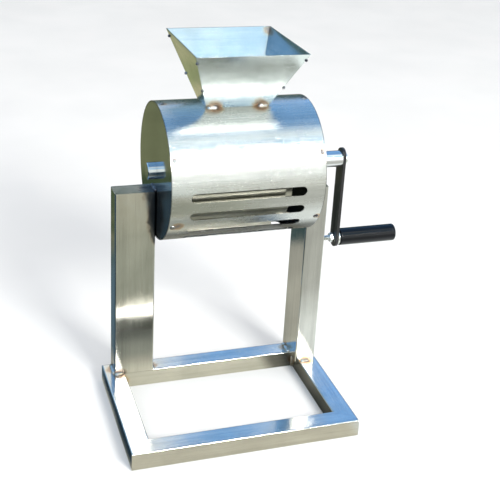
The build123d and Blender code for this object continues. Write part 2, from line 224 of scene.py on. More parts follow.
# ---------------------------------------------------------------- materials
HEAT_COLOURS = [
    (0.00, (0.62, 0.61, 0.57)),
    (0.20, (0.64, 0.51, 0.33)),
    (0.45, (0.50, 0.31, 0.15)),
    (0.70, (0.33, 0.20, 0.12)),
    (0.88, (0.16, 0.12, 0.12)),
    (1.00, (0.15, 0.15, 0.16)),
]
# Scorch colours; on the left upright's edge beside the drum they also paint the shade and reflection of the
# disc
BURNT_AND_SHADE_COLOURS = [
    (0.00, (0.62, 0.61, 0.57)),
    (0.14, (0.52, 0.38, 0.23)),
    (0.30, (0.24, 0.15, 0.10)),
    (0.48, (0.07, 0.065, 0.07)),
    (1.00, (0.045, 0.05, 0.06)),
]
MIRROR_COLOURS = [(0.35, (0.44, 0.46, 0.44)), (0.6, (0.60, 0.62, 0.60)), (0.8, (0.70, 0.71, 0.66))]
# Smoke on the disc, partly painted shade in its corner beside the left upright
SMOKE_AND_SHADE_COLOURS = [(0.1, (0.22, 0.24, 0.26)), (0.5, (0.06, 0.07, 0.10))]
WELD_COLOURS = [
    (0.30, (0.20, 0.15, 0.12)),
    (0.42, (0.52, 0.40, 0.26)),
    (0.50, (0.60, 0.58, 0.54)),
    (0.70, (0.74, 0.74, 0.74)),
]
ZINC_COLOURS = [(0.32, (0.62, 0.62, 0.56)), (0.5, (0.80, 0.81, 0.80)), (0.72, (0.70, 0.74, 0.80))]
BRONZE_COLOURS = [(0.3, (0.30, 0.17, 0.07)), (0.6, (0.62, 0.40, 0.18))]
PLASTIC_COLOURS = [(0.3, (0.0015, 0.002, 0.003)), (0.7, (0.004, 0.005, 0.008))]
BLACK_PAINT, WORN_PAINT = (0.013, 0.013, 0.014), (0.10, 0.10, 0.095)
# Painted shade colour for the shell's end lines, underside and inner face
PAINTED_SHADE_STEEL = (0.11, 0.115, 0.11)
# Painted shade colour for the inner faces of the end discs
PAINTED_INNER_SHADE = (0.03, 0.03, 0.032)
SOOT = (0.05, 0.052, 0.075)


def brushed_metal(name, tint, grain, rough=0.15, contrast=0.2, spots=(), stain=0.2, coarse=1.0,
                  shade_by=None, heat=HEAT_COLOURS, cover_most=0.72):
    """Ground stainless steel. grain holds the texture's stretch: small along the grain, large across it."""
    g = Material(name)
    fine = g.noise(1.0, 4.0, 0.65, stretch=tuple(s * 4.2 for s in grain))
    wide = g.noise(1.0, 3.0, 0.6, stretch=tuple(s * coarse for s in grain), offset=(3.1, 1.7, 0.4))
    cloud = g.noise(9.0, 5.0, 0.6, distort=0.4)
    smudge = g.noise(26.0, 4.0, 0.62, offset=(0.3, 0.8, 0.1))
    lines = g.math("ADD", g.math("MULTIPLY", fine, 0.55), g.math("MULTIPLY", wide, 0.45))
    low = tuple(c * (1 - contrast) for c in tint)
    high = tuple(min(1.0, c * (1 + contrast * 0.6)) for c in tint)
    colour = g.ramp(lines, [(0.30, low), (0.52, tint), (0.74, high)])
    colour = g.darken(colour, g.remap(cloud, 0.35, 0.75, 1.0, 1.0 - stain, smooth=True))
    # painted shade: where shade_by gives it, the colour goes towards a dark steel tone
    if shade_by:
        colour = g.mix(shade_by(g), colour, PAINTED_SHADE_STEEL)
    grained = g.remap(lines, 0.3, 0.75, rough - 0.05, rough + 0.08)
    roughness = g.math("ADD", grained, g.remap(smudge, 0.45, 0.8, 0.0, 0.12))
    if spots:
        near = g.nearness(spots)
        cover = g.remap(near, 0.03, 0.6, 0.0, cover_most, smooth=True)
        colour = g.mix(cover, colour, g.ramp(near, heat))
        roughness = g.math("ADD", roughness, g.math("MULTIPLY", cover, 0.12))
    g.set("Base Color", colour)
    g.set("Metallic", 1.0)
    g.set("Roughness", roughness)
    scratches = g.bump(fine, 0.12, 0.0003)
    g.set("Normal", g.bump(cloud, 0.12, 0.0016, under=scratches))
    return g.material


def shell_shade(g):
    """Painted shade: dark lines at both ends of the shell where it meets the discs, darker towards the
    underside, and a darkened inner face.
    """
    x, z, radius = g.place_on_drum()
    left = g.remap(x, DRUM_X0 + 0.3 * MM, DRUM_X0 + 1.1 * MM, 0.75, 0.0)
    right = g.remap(x, DRUM_X1 - 1.3 * MM, DRUM_X1 - 0.3 * MM, 0.0, 0.85)
    under = g.remap(z, AXLE_Z - 74 * MM, AXLE_Z - 55 * MM, 0.9, 0.0, smooth=True)
    inner_shade = g.remap(radius, DRUM_R - 1.9 * MM, DRUM_R - 1.4 * MM, 0.8, 0.0)
    return g.math("MAXIMUM", g.math("MAXIMUM", left, right), g.math("MAXIMUM", under, inner_shade))


def polished_metal(name, spots):
    """Mirror-polished sheet with faint rings left by the wheel, smoke marks that are partly painted shade in
    the corner beside the left upright, and a rougher inner face darkened with painted shade.
    """
    g = Material(name)
    x, _, radius = g.place_on_drum()
    rings = g.add("ShaderNodeTexNoise", noise_dimensions="1D")
    rings.inputs["Scale"].default_value = 900.0
    rings.inputs["Detail"].default_value = 3.0
    g.join(radius, rings.inputs["W"])
    ring = rings.outputs["Fac"]
    cloud = g.noise(11.0, 4.0, 0.55)
    wave = g.noise(7.0, 1.0, 0.5, offset=(0.2, 0.5, 0.9))
    tone = g.math("ADD", g.math("MULTIPLY", ring, 0.4), g.math("MULTIPLY", cloud, 0.6))
    near = g.nearness(spots, wobble=0.5)
    cover = g.remap(near, 0.05, 0.45, 0.0, 0.93, smooth=True)
    colour = g.mix(cover, g.ramp(tone, MIRROR_COLOURS), g.ramp(near, SMOKE_AND_SHADE_COLOURS))
    # painted shade on the disc's inner face
    from_left = g.remap(x, DRUM_X0 + 2.2 * MM, DRUM_X0 + 2.8 * MM)
    from_right = g.remap(x, DRUM_X1 - 2.8 * MM, DRUM_X1 - 2.2 * MM, 1.0, 0.0)
    inner_shade = g.math("MULTIPLY", from_left, from_right)
    g.set("Base Color", g.mix(g.math("MULTIPLY", inner_shade, 0.94), colour, PAINTED_INNER_SHADE))
    g.set("Metallic", 1.0)
    smear = g.math("ADD", g.remap(ring, 0.3, 0.7, 0.05, 0.11), g.remap(cloud, 0.5, 0.8, 0.0, 0.08))
    g.set("Roughness", g.math("ADD", smear, g.math("MULTIPLY", inner_shade, 0.35)))
    g.set("Normal", g.bump(wave, 0.12, 0.004, under=g.bump(ring, 0.05, 0.0002)))
    return g.material


def weld_metal(name, burnt=0.0):
    """Solidified weld: bright crests, brown and blue oxide in the ripples, and soot where it is burnt."""
    g = Material(name)
    ripple = g.noise(420.0, 3.0, 0.6)
    blotch = g.noise(130.0, 3.0, 0.6, offset=(0.1, 0.6, 0.2))
    colour = g.ramp(blotch, WELD_COLOURS)
    if burnt:
        colour = g.mix(g.remap(blotch, 0.35, 0.7, 1.0, burnt), colour, SOOT)
    g.set("Base Color", colour)
    g.set("Metallic", 1.0)
    g.set("Roughness", g.remap(blotch, 0.3, 0.7, 0.48, 0.20))
    g.set("Normal", g.bump(ripple, 0.5, 0.0005))
    return g.material


def black_paint(name):
    """Satin black paint with a fine orange-peel and a few worn, greyer patches."""
    g = Material(name)
    peel = g.noise(520.0, 2.0, 0.5)
    patch = g.noise(38.0, 5.0, 0.65)
    scuff = g.noise(1.0, 4.0, 0.7, stretch=(300, 300, 60), offset=(0.5, 0.5, 0.5))
    worn = g.remap(g.math("MULTIPLY", patch, scuff), 0.34, 0.46, 0.0, 0.55, smooth=True)
    g.set("Base Color", g.mix(worn, BLACK_PAINT, WORN_PAINT))
    g.set("Metallic", 0.0)
    g.set("Roughness", g.remap(patch, 0.3, 0.75, 0.34, 0.52))
    g.set("Specular IOR Level", 0.5)
    g.set("Normal", g.bump(peel, 0.18, 0.0003))
    return g.material


def black_plastic(name):
    """Glossy moulded plastic with faint flow marks and fine rubbing along the grip."""
    g = Material(name)
    flow = g.noise(30.0, 3.0, 0.5)
    rub = g.noise(1.0, 4.0, 0.65, stretch=(30, 700, 700))
    rubbed = g.remap(rub, 0.3, 0.75, 0.10, 0.15)
    g.set("Base Color", g.ramp(flow, PLASTIC_COLOURS))
    g.set("Roughness", g.math("ADD", rubbed, g.remap(flow, 0.4, 0.8, 0.0, 0.05)))
    g.set("Specular IOR Level", 0.3)
    g.set("Normal", g.bump(rub, 0.06, 0.0003))
    return g.material


def zinc_plate(name):
    """Bright zinc with the slight yellow and blue of its passivation."""
    g = Material(name)
    cloud = g.noise(160.0, 3.0, 0.6)
    tool = g.noise(700.0, 2.0, 0.5)
    g.set("Base Color", g.ramp(cloud, ZINC_COLOURS))
    g.set("Metallic", 1.0)
    g.set("Roughness", g.remap(tool, 0.3, 0.7, 0.16, 0.34))
    g.set("Normal", g.bump(tool, 0.15, 0.0002))
    return g.material


def bronze(name):
    """Plain bearing bronze, turned, a little tarnished."""
    g = Material(name)
    turned = g.noise(1.0, 3.0, 0.6, stretch=(2600, 40, 40))
    cloud = g.noise(90.0, 4.0, 0.6)
    g.set("Base Color", g.ramp(cloud, BRONZE_COLOURS))
    g.set("Metallic", 1.0)
    g.set("Roughness", g.remap(turned, 0.3, 0.7, 0.24, 0.42))
    g.set("Normal", g.bump(turned, 0.2, 0.0002))
    return g.material


# ---------------------------------------------------------------- places of the welds
def on_drum(angle, x, radius=DRUM_R):
    """A point round the drum's axis. Angle 0 faces the front, 90 is straight down."""
    turn = math.radians(angle)
    return Vector((x, AXLE_Y - radius * math.cos(turn), AXLE_Z - radius * math.sin(turn)))


def spot(x, y, z, radius):
    """A heat mark, or a mark that is partly painted shade: its centre, and the radius at which it ends."""
    return Vector((x, y, z)), radius * MM


PLUG_START, PLUG_COUNT, PLUG_MARGIN = -28.0, 6, 6.0 * MM
PLUGS = [
    on_drum(PLUG_START + k * 360.0 / PLUG_COUNT, x)
    for x in (DRUM_X0 + PLUG_MARGIN, DRUM_X1 - PLUG_MARGIN)
    for k in range(PLUG_COUNT)
]
BASE_CORNERS = [
    (x, y)
    for x in (front_low.x + RAIL, front_high.x - RAIL)
    for y in (front_low.y + RAIL, rear_high.y - RAIL)
]

# The four beads at the hopper's foot: where each starts, and its way along X
FOOT_BEAD = 4.5 * MM
FOOT_Z = foot_high.z - FOOT_BEAD
FOOT_ENDS = [
    (x, y, way)
    for x, way in ((foot_low.x + FOOT_BEAD, 1), (foot_high.x - FOOT_BEAD, -1))
    for y in (foot_low.y + FOOT_BEAD, foot_high.y - FOOT_BEAD)
]

foot_spots = [spot(x + way * 9 * MM, y, FOOT_Z, 18) for x, y, way in FOOT_ENDS]
plug_spots = [(plug + Vector((2.5 * MM, 0, 0)), 8.0 * MM) for plug in PLUGS]
stain_spot = [(on_drum(31.0, DRUM_X0 + 13 * MM), 12 * MM)]
rim_spot = [spot(rim_high.x - 3 * MM, rim_high.y - 2 * MM, rim_high.z - 7 * MM, 15)]
corner_spots = [spot(x, y, RAIL_TOP * 0.5, 12) for x, y in BASE_CORNERS]

left_foot_spots = [
    spot(post_low.x + 7 * MM, post_low.y, RAIL_TOP, 15),
    spot(post_low.x, post_low.y + 15 * MM, RAIL_TOP, 17),
    spot(post_high.x, post_low.y + 15 * MM, RAIL_TOP, 13),
]
right_foot_spots = [
    spot((right_low.x + right_high.x) / 2 + 2 * MM, right_low.y, RAIL_TOP, 16),
    spot(right_low.x, right_high.y - 15 * MM, RAIL_TOP, 16),
]

# Scorched edge of the left upright beside the drum, partly painted shade and reflection of the disc: a row
# of spots that bulges in its middle
SCORCH_AND_SHADE_COUNT, SCORCH_AND_SHADE_STEP = 20, 4


def scorch_and_shade(k):
    bulge = math.sin(math.pi * k / (SCORCH_AND_SHADE_COUNT - 1))
    inward, drop = 4.5 * bulge - 1, 2 + SCORCH_AND_SHADE_STEP * k
    return spot(post_high.x - inward * MM, post_low.y, POST_TOP - drop * MM, 8 + 6 * bulge)


left_cap_spot = spot(post_high.x, post_low.y + 12 * MM, POST_TOP, 30)
right_cap_spot = spot(right_low.x, right_low.y + 30 * MM, POST_TOP, 14)
left_top_spots = [
    *(scorch_and_shade(k) for k in range(SCORCH_AND_SHADE_COUNT)),
    left_cap_spot,
    spot(post_high.x, post_high.y, POST_TOP - 30 * MM, 18),
]
right_top_spots = [right_cap_spot, spot(right_low.x, right_high.y, POST_TOP - 30 * MM, 18)]
# Marks down the disc along the left upright's front edge: smoke and painted corner shade
disc_smoke_and_shade = [spot(DRUM_X0, post_low.y - 1 * MM, POST_TOP - drop * MM, 10) for drop in range(0, 66, 4)]

# ---------------------------------------------------------------- what each piece is made of
STEEL = (0.62, 0.615, 0.585)
SHEET = (0.66, 0.665, 0.645)
# Grey sheet with a blue-green tint that is painted reflection of the sky
SKY_TINTED_PANEL = (0.67, 0.72, 0.715)
ROTOR_STEEL = (0.68, 0.66, 0.56)
SHAFT_STEEL = (0.68, 0.69, 0.70)
FINE, LONG = 330.0, 5.0
ALONG_X, ALONG_Y, ALONG_Z = (LONG, FINE, FINE), (FINE, LONG, FINE), (FINE, FINE, LONG)
TURNED = (FINE * 3, 30, 30)

rail_marks = left_foot_spots + right_foot_spots + corner_spots
rail_look = dict(rough=0.11, spots=rail_marks, coarse=0.5)
post_look = dict(rough=0.10, contrast=0.26, coarse=0.4)
panel_look = dict(rough=0.14, contrast=0.1, spots=foot_spots + rim_spot, coarse=0.35)
materials = {
    "rail_x": brushed_metal("stainless_rail_x", STEEL, ALONG_X, **rail_look),
    "rail_y": brushed_metal("stainless_rail_y", STEEL, ALONG_Y, **rail_look),
    "left_post": brushed_metal(
        "stainless_left_post", STEEL, ALONG_Z, **post_look,
        spots=left_foot_spots + left_top_spots, heat=BURNT_AND_SHADE_COLOURS, cover_most=0.92,
    ),
    "right_post": brushed_metal(
        "stainless_right_post", STEEL, ALONG_Z, **post_look, spots=right_foot_spots + right_top_spots,
    ),
    "cap": brushed_metal(
        "stainless_cap", STEEL, ALONG_X, rough=0.12,
        spots=[left_cap_spot, right_cap_spot], heat=BURNT_AND_SHADE_COLOURS, cover_most=0.95,
    ),
    "shell": brushed_metal(
        "stainless_shell", SHEET, ALONG_X, rough=0.24, coarse=0.35,
        spots=foot_spots + plug_spots + stain_spot, shade_by=shell_shade,
    ),
    "panel_x": brushed_metal("stainless_panel_front", SKY_TINTED_PANEL, ALONG_X, **panel_look),
    "panel_y": brushed_metal("stainless_panel_side", SKY_TINTED_PANEL, ALONG_Y, **panel_look),
    "rotor": brushed_metal("rotor_steel", ROTOR_STEEL, ALONG_X, rough=0.3, coarse=0.5),
    "shaft": brushed_metal("turned_shaft", SHAFT_STEEL, TURNED, rough=0.12, contrast=0.1, stain=0.1),
    "disc": polished_metal("polished_disc", disc_smoke_and_shade),
    "weld": weld_metal("weld_metal"),
    "burnt_weld": weld_metal("burnt_weld", burnt=0.55),
    "plug_weld": weld_metal("plug_weld", burnt=0.12),
    "paint": black_paint("black_paint"),
    "plastic": black_plastic("black_plastic"),
    "zinc": zinc_plate("zinc_plate"),
    "bronze": bronze("bearing_bronze"),
}

LOOKS = {
    "rail_x": ["base_front_rail", "base_rear_rail"],
    "rail_y": ["base_left_rail", "base_right_rail"],
    "left_post": ["left_upright"],
    "right_post": ["right_upright"],
    "cap": ["left_upright_cap", "right_upright_cap"],
    "shell": ["drum_shell"],
    "disc": ["left_end_disc", "right_end_disc"],
    "shaft": ["left_bearing_housing", "right_bearing_housing", "rotor_shaft"],
    "bronze": ["left_bush", "right_bush"],
    "panel_x": ["hopper_front_panel", "hopper_rear_panel"],
    "panel_y": ["hopper_left_panel", "hopper_right_panel"],
    "burnt_weld": ["hopper_corner_tacks"],
    "zinc": [
        "left_shaft_collar", "right_shaft_collar", "collar_set_screws", "hub_bolt", "hub_washer",
        "grip_bolt", "grip_nut", "grip_washer",
    ],
    "paint": ["crank_arm"],
    "plastic": ["crank_grip"],
}
LOOK_OF = {node: look for look, nodes in LOOKS.items() for node in nodes}


def dress(node, material):
    mesh = NODES[node].data
    mesh.materials.clear()
    mesh.materials.append(material)


for node in NODES:
    other = "weld" if "weld" in node else "rotor"
    dress(node, materials[LOOK_OF.get(node, other)])


def soften(node, width):
    """Rounds the sharp edges of a sheet or plate."""
    piece = NODES[node]
    weld = piece.modifiers.new("join", "WELD")
    weld.merge_threshold = 0.00001
    bevel = piece.modifiers.new("edges", "BEVEL")
    bevel.width = width
    bevel.segments = 2
    bevel.limit_method = "ANGLE"
    bevel.angle_limit = math.radians(40)
    bevel.harden_normals = True


for node in ("hopper_front_panel", "hopper_rear_panel", "hopper_left_panel", "hopper_right_panel"):
    soften(node, 0.35 * MM)
soften("crank_arm", 0.7 * MM)


# ---------------------------------------------------------------- new pieces
def make_piece(name, vertices, faces, material, body, stands_for, smooth=True):
    mesh = bpy.data.meshes.new(name)
    mesh.from_pydata([tuple(v) for v in vertices], [], faces)
    mesh.validate()
    mesh.update()
    mesh.materials.append(material)
    for face in mesh.polygons:
        face.use_smooth = smooth
    piece = bpy.data.objects.new(name, mesh)
    bpy.context.scene.collection.objects.link(piece)
    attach(piece, body)
    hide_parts(*stands_for)
    return piece


def skin(faces, first, gaps, around, flip=False):
    """Joins each ring of points to the next with four-sided faces."""
    for i in range(gaps):
        for j in range(around):
            a = first + i * around + j
            b = first + i * around + (j + 1) % around
            faces.append((a, a + around, b + around, b) if flip else (a, b, b + around, a + around))


def close_ends(faces, first, gaps, around):
    """Closes the first and the last ring with one face each."""
    last = first + gaps * around
    faces.append(tuple(first + j for j in reversed(range(around))))
    faces.append(tuple(last + j for j in range(around)))


RIPPLE, RING_STEP, BEAD_AROUND = 2.2 * MM, 0.28 * MM, 28


def bead(vertices, faces, start, end, radius, seed):
    """A run of weld: a rounded bead whose skin steps forward in crescent ripples."""
    random.seed(seed)
    start, end = Vector(start), Vector(end)
    line = (end - start).normalized()
    length = (end - start).length + 2 * radius
    origin = start - line * radius
    side = line.cross(Vector((0, 0, 1)))
    if side.length < 0.01:
        side = line.cross(Vector((0, 1, 0)))
    side.normalize()
    rise = side.cross(line).normalized()
    gaps = max(24, int(length / RING_STEP))
    first = len(vertices)
    phase = random.random()
    for i in range(gaps + 1):
        reach = i / gaps * length
        from_end = min(reach, length - reach)
        envelope = math.sqrt(max(0.0, 1 - max(0.0, 1 - from_end / radius) ** 2))
        for j in range(BEAD_AROUND):
            turn = 2 * math.pi * j / BEAD_AROUND
            c, s = math.cos(turn), math.sin(turn)
            bow = reach / RIPPLE + 0.42 * (1 - abs(s)) + phase
            crest = bow - math.floor(bow)
            wobble = noise.noise(Vector((reach * 420, c * 1.7 + seed, s * 1.7)))
            r = radius * max(envelope, 0.02) * (1 + 0.085 * (crest - 0.5) + 0.07 * wobble)
            vertices.append(origin + line * reach + side * (c * r) + rise * (s * r))
    skin(faces, first, gaps, BEAD_AROUND)
    close_ends(faces, first, gaps, BEAD_AROUND)


def bead_group(name, runs, node, body, radius, look="weld"):
    vertices, faces = [], []
    for index, (start, end) in enumerate(runs):
        bead(vertices, faces, start, end, radius, seed=index + len(name))
    return make_piece(name, vertices, faces, materials[look], body, [node])


DOME_GAPS, DOME_AROUND = 12, 32


def dome_lift(share, lump, index):
    """How high a weld button stands, as a share of its height, from its middle (0) to its edge (1)."""
    lift = (1.05 - 0.55 * math.exp(-((share / 0.42) ** 2))) * math.sqrt(max(0.0, 1 - share**4))
    lift += 0.10 * math.sin(share * 22 + index) * (1 - share)
    lift += 0.12 * lump * (1 - share)
    return lift - 0.5 * share**6


def dome_group(name, places, node, body, radius, height):
    """Round weld buttons: a raised ring with a sunk middle, as a plug weld leaves."""
    vertices, faces = [], []
    for index, (place, outward) in enumerate(places):
        out = outward.normalized()
        across = out.orthogonal().normalized()
        other = out.cross(across)
        first = len(vertices)
        for i in range(DOME_GAPS + 1):
            share = i / DOME_GAPS
            for j in range(DOME_AROUND):
                turn = 2 * math.pi * j / DOME_AROUND
                lump = noise.noise(Vector((math.cos(turn) * 2 + index, math.sin(turn) * 2, share * 3)))
                r = radius * share * (1 + 0.05 * lump)
                point = place + across * (r * math.cos(turn)) + other * (r * math.sin(turn))
                vertices.append(point + out * (height * dome_lift(share, lump, index)))
        base = len(vertices)
        for j in range(DOME_AROUND):
            vertices.append(vertices[base - DOME_AROUND + j] - out * height)
        skin(faces, first, DOME_GAPS + 1, DOME_AROUND, flip=True)
        faces.append(tuple(base + j for j in reversed(range(DOME_AROUND))))
    return make_piece(name, vertices, faces, materials["plug_weld"], body, [node])


# Base corners: a short upright run in each inner corner
CORNER_BEAD, CORNER_LOW, CORNER_HIGH = 3.0 * MM, 3.0 * MM, 16.0 * MM
bead_group(
    "base_corner_beads",
    [((x, y, CORNER_LOW), (x, y, CORNER_HIGH)) for x, y in BASE_CORNERS],
    "base_corner_welds",
    "stand",
    CORNER_BEAD,
)

# Feet of the uprights: two short runs at the front, three long ones along the sides
UPRIGHT_BEAD, SHORT_START, SHORT_END, LONG_GAP = 3.4 * MM, 3.6 * MM, 10.8 * MM, 6 * MM
right_middle = (right_low.x + right_high.x) / 2
short_runs = (
    (post_low.x + SHORT_START, post_low.x + SHORT_END, post_low.y),
    (right_middle - SHORT_START, right_middle + SHORT_START, right_low.y),
)
long_runs = (
    (post_low.x, post_high.y),
    (post_high.x, post_high.y),
    (right_low.x, right_high.y),
)
bead_group(
    "upright_foot_beads",
    [
        *(((x0, y, RAIL_TOP), (x1, y, RAIL_TOP)) for x0, x1, y in short_runs),
        *(((x, post_low.y + LONG_GAP, RAIL_TOP), (x, rear - LONG_GAP, RAIL_TOP)) for x, rear in long_runs),
    ],
    "upright_foot_welds",
    "stand",
    UPRIGHT_BEAD,
)

# Drum to uprights: along the tops of the caps, and up the uprights' rear corners
DRUM_BEAD, DRUM_BEAD_FOOT = 3.0 * MM, AXLE_Z - DRUM_R * 0.75
sides = ((DRUM_X0, post_low.y, post_high.y), (DRUM_X1, right_low.y, right_high.y))
bead_group(
    "drum_to_upright_beads",
    [
        *(((x, near + LONG_GAP, POST_TOP), (x, far - LONG_GAP, POST_TOP)) for x, near, far in sides),
        *(((x, far, DRUM_BEAD_FOOT), (x, far, POST_TOP - LONG_GAP)) for x, near, far in sides),
    ],
    "drum_to_upright_welds",
    "stand",
    DRUM_BEAD,
    look="burnt_weld",
)

# Hopper foot
FOOT_START, FOOT_END = 2.2 * MM, 9.5 * MM
bead_group(
    "hopper_foot_beads",
    [((x + way * FOOT_START, y, FOOT_Z), (x + way * FOOT_END, y, FOOT_Z)) for x, y, way in FOOT_ENDS],
    "hopper_foot_welds",
    "stand",
    FOOT_BEAD * 0.95,
)

# Plug welds round the ends of the shell
PLUG_R, PLUG_RISE = 4.0 * MM, 1.1 * MM
dome_group(
    "shell_plug_buttons",
    [(plug, Vector((0, plug.y - AXLE_Y, plug.z - AXLE_Z))) for plug in PLUGS],
    "shell_plug_welds",
    "stand",
    PLUG_R,
    PLUG_RISE,
)

# Rotor bars: a run beside each end of each bar
BAR_SIZE, BAR_START, BAR_COUNT = 10.0 * MM, 6.0, 6
BAR_BEAD, BAR_BEAD_GAP, BAR_BEAD_LENGTH = 2.3 * MM, 2.5 * MM, 15 * MM
bar_runs = []
for k in range(BAR_COUNT):
    angle = BAR_START + k * 360.0 / BAR_COUNT
    turn = math.radians(angle)
    beside = Vector((0, math.sin(turn), -math.cos(turn))) * (BAR_SIZE * 0.55)
    for x, way in ((bar_low.x + BAR_BEAD_GAP, 1), (bar_high.x - BAR_BEAD_GAP, -1)):
        near = on_drum(angle, x, ROTOR_R + 0.5 * MM) + beside
        bar_runs.append((near, near + Vector((way * BAR_BEAD_LENGTH, 0, 0))))
bead_group("rotor_bar_beads", bar_runs, "rotor_bar_welds", "rotor", BAR_BEAD)


def lathe(vertices, faces, profile, around=48, shape=None):
    """Turns (x, radius) points about the grip's axis. shape gives the radius at each angle."""
    first = len(vertices)
    for x, radius in profile:
        for j in range(around):
            turn = 2 * math.pi * j / around
            r = radius if shape is None else shape(x, radius, turn)
            vertices.append(Vector((x, AXLE_Y + r * math.cos(turn), GRIP_Z + r * math.sin(turn))))
    skin(faces, first, len(profile) - 1, around)
    close_ends(faces, first, len(profile) - 1, around)


def hexagon(vertices, faces, x0, x1, flats):
    """A hexagon with its corners cut back at both faces, as on a nut."""
    corner = flats / 2 / math.cos(math.pi / 6)
    cut = (corner - flats / 2) * 0.55
    profile = [
        (x0, flats / 2 * 0.97),
        (x0 + cut * 0.15, flats / 2),
        (x0 + cut, corner),
        (x1 - cut, corner),
        (x1 - cut * 0.15, flats / 2),
        (x1, flats / 2 * 0.97),
    ]

    def shape(x, limit, turn):
        sector = (turn % (math.pi / 3)) - math.pi / 6
        return min(flats / 2 / math.cos(sector), limit)

    lathe(vertices, faces, profile, around=96, shape=shape)


def thread(vertices, faces, x0, x1, radius, pitch):
    """A rod with a helical thread cut into it, tapered at its free end."""
    depth = 0.6 * pitch
    cut = depth * 0.9
    steps = int((x1 - x0) / (pitch / 7))
    profile = [(x0, radius - depth)]
    for i in range(steps + 1):
        x = x0 + (x1 - x0) * (i + 1) / (steps + 2)
        taper = min(1.0, (x - x0) / (1.2 * MM))
        profile.append((x, radius - cut * (1 - taper)))
    profile.append((x1, radius))

    def shape(x, limit, turn):
        place = (x - x0) / pitch - turn / (2 * math.pi)
        groove = abs((place - math.floor(place)) * 2 - 1)
        return min(limit, radius - cut * groove)

    lathe(vertices, faces, profile, around=40, shape=shape)


# Grip bolt: threaded tail, plain shank, chamfered head
GRIP_BOLT_R, GRIP_FLATS, HEAD_THICKNESS, M8_PITCH = 4.0 * MM, 13.0 * MM, 5.3 * MM, 1.25 * MM
vertices, faces = [], []
thread(vertices, faces, bolt_low.x, arm_low.x, GRIP_BOLT_R, M8_PITCH)
head_start = bolt_high.x - HEAD_THICKNESS
lathe(vertices, faces, [(arm_low.x, GRIP_BOLT_R), (head_start + 0.2 * MM, GRIP_BOLT_R)])
hexagon(vertices, faces, head_start, bolt_high.x, GRIP_FLATS)
zinc = materials["zinc"]
make_piece("grip_bolt_threaded", vertices, faces, zinc, "rotor", ["grip_bolt"], smooth=False)

# Grip nut
vertices, faces = [], []
hexagon(vertices, faces, nut_low.x, nut_high.x, GRIP_FLATS)
make_piece("grip_nut_chamfered", vertices, faces, zinc, "rotor", ["grip_nut"], smooth=False)

# ---------------------------------------------------------------- floor, light, camera
FLOOR_SIZE, GROUND_SIZE, GROUND_LIFT = 40.0, 9.0, 0.4 * MM


def square_card(name, size, lift, material):
    half = size / 2
    corners = [(-half, -half, lift), (half, -half, lift), (half, half, lift), (-half, half, lift)]
    mesh = bpy.data.meshes.new(name)
    mesh.from_pydata(corners, [], [(0, 1, 2, 3)])
    mesh.materials.append(material)
    card = bpy.data.objects.new(name, mesh)
    bpy.context.scene.collection.objects.link(card)
    return card


def floor():
    """A pale studio floor."""
    g = Material("pale_floor")
    soft = g.noise(3.0, 3.0, 0.5)
    grit = g.noise(260.0, 2.0, 0.5)
    g.set("Base Color", g.ramp(soft, [(0.35, (0.86, 0.86, 0.85)), (0.65, (0.89, 0.89, 0.88))]))
    g.set("Roughness", g.remap(grit, 0.3, 0.7, 0.75, 0.9))
    piece = square_card("studio_floor", FLOOR_SIZE, 0, g.material)
    piece.visible_glossy = False


floor()


def area_light(name, place, aim, size, power, colour):
    data = bpy.data.lights.new(name, "AREA")
    data.energy = power
    data.color = colour
    data.size = size
    light = bpy.data.objects.new(name, data)
    light.location = place
    light.rotation_euler = (Vector(aim) - Vector(place)).to_track_quat("-Z", "Y").to_euler()
    light.visible_camera = False
    light.visible_glossy = False
    bpy.context.scene.collection.objects.link(light)


SUN = Vector((0.25, -0.82, 0.52)).normalized()
KEY_AIM = Vector((0, 0, 0.3))
area_light("key", SUN * 3.4 + KEY_AIM, KEY_AIM, 1.0, 120.0, (1.0, 0.985, 0.95))
area_light("fill", (-2.4, -1.6, 2.0), (0, 0, 0.25), 2.2, 10.0, (0.93, 0.97, 1.0))

# The mirrored ground from the viewer to the rear: where each band begins and is complete, and its colour.
# The dark band that begins under the front rail is that rail's painted shadow.
NEAREST_GROUND = (0.72, 0.85, 0.86)
GROUND_BANDS = [
    (-1.05, -0.80, (0.35, 0.34, 0.265)),
    (-0.75, -0.35, (0.34, 0.355, 0.285)),
    (-0.26, -0.17, (0.62, 0.59, 0.475)),
    (-0.15, -0.10, (0.34, 0.355, 0.30)),
    (-0.06, 0.0, (0.84, 0.81, 0.66)),
    (0.09, 0.14, (0.50, 0.49, 0.41)),
]
RIGHT_NEAR, RIGHT_FAR = (0.42, 0.43, 0.39), (0.86, 0.90, 0.86)
REAR_SHADOW = (0.07, 0.12, 0.12)
RAIL_SHADOW = (0.06, 0.06, 0.05)
LEFT_NEAR, LEFT_FAR, LEFT_LAWN = (0.025, 0.05, 0.075), (0.11, 0.18, 0.225), (0.19, 0.205, 0.11)
LAWN_COLOURS = [(0.36, (0.24, 0.29, 0.11)), (0.5, (0.40, 0.41, 0.22)), (0.62, (0.55, 0.45, 0.28))]
BUSH_COLOURS = [(0.36, (0.03, 0.06, 0.035)), (0.5, (0.085, 0.12, 0.06)), (0.62, (0.25, 0.23, 0.13))]


